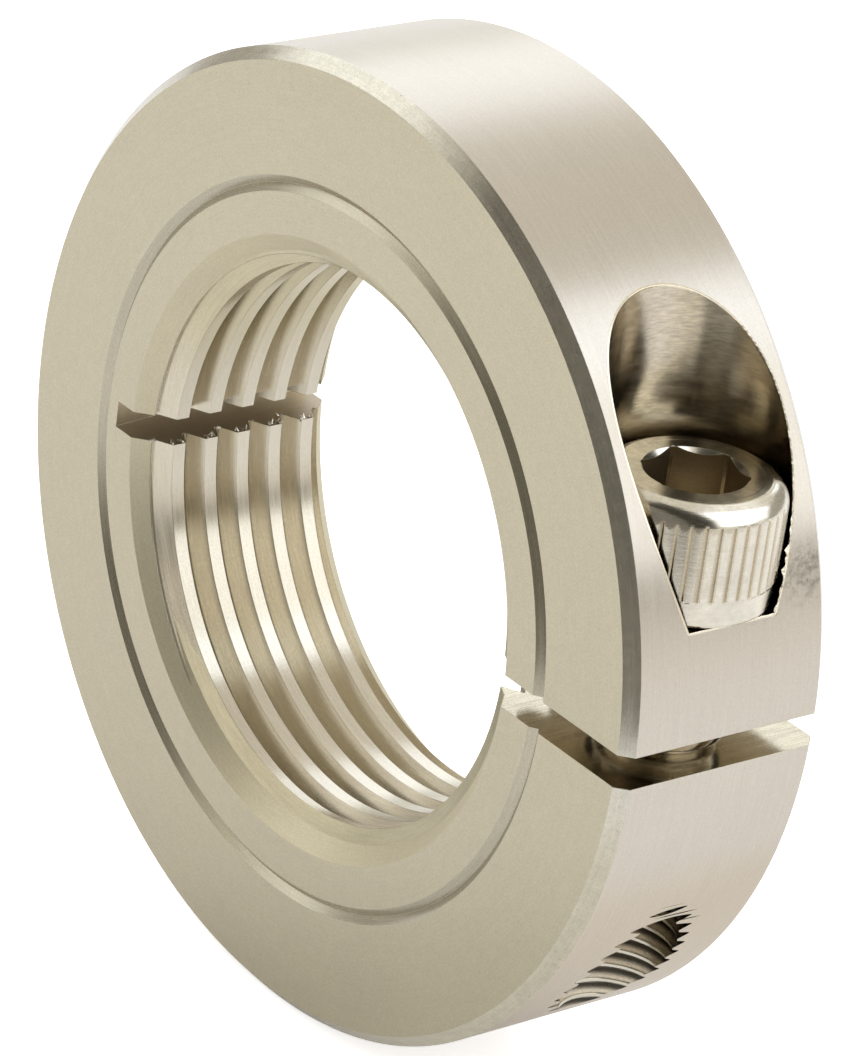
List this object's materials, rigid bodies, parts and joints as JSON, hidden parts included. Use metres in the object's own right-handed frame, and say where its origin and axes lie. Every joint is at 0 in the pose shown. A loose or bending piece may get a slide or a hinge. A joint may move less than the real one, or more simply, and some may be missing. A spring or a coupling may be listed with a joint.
{
  "type": "shaft collar",
  "caption": "One-piece threaded clamping shaft collar: a wide steel ring with a threaded bore, a clamp gap, a relief slot opposite it and a recessed socket head clamp screw.",
  "frame": {"origin": "on the bore axis, halfway across the collar's width", "axes": "+Y along the bore axis from the grooved front face to the plain back face; +X from the bore axis to the clamp gap; +Z along the clamp screw towards its head"},
  "size_m": [0.0524, 0.0126, 0.0524],
  "materials": {
    "ring_steel": "turned and brushed stainless steel, warm grey",
    "screw_steel": "bright stainless steel"
  },
  "bodies": {
    "upper_arm": {"collar_upper_arm": "ring_steel"},
    "lower_arm": {"collar_lower_arm": "ring_steel"},
    "screw": {"clamp_screw": "screw_steel"}
  },
  "joints": [
    {"name": "screw_turn", "type": "hinge", "parent": "upper_arm", "child": "screw", "pos_m": [0.02108, 0, 0.0067], "axis": [0, 0, -1], "range_deg": [0, 180]},
    {"name": "clamp_flex", "type": "hinge", "parent": "upper_arm", "child": "lower_arm", "pos_m": [-0.0223, 0, 0], "axis": [0, -1, 0], "range_deg": [0, 0.6]}
  ],
  "couplings": [
    {"joint": "clamp_flex", "follows": "screw_turn", "ratio": 0.003328}
  ]
}
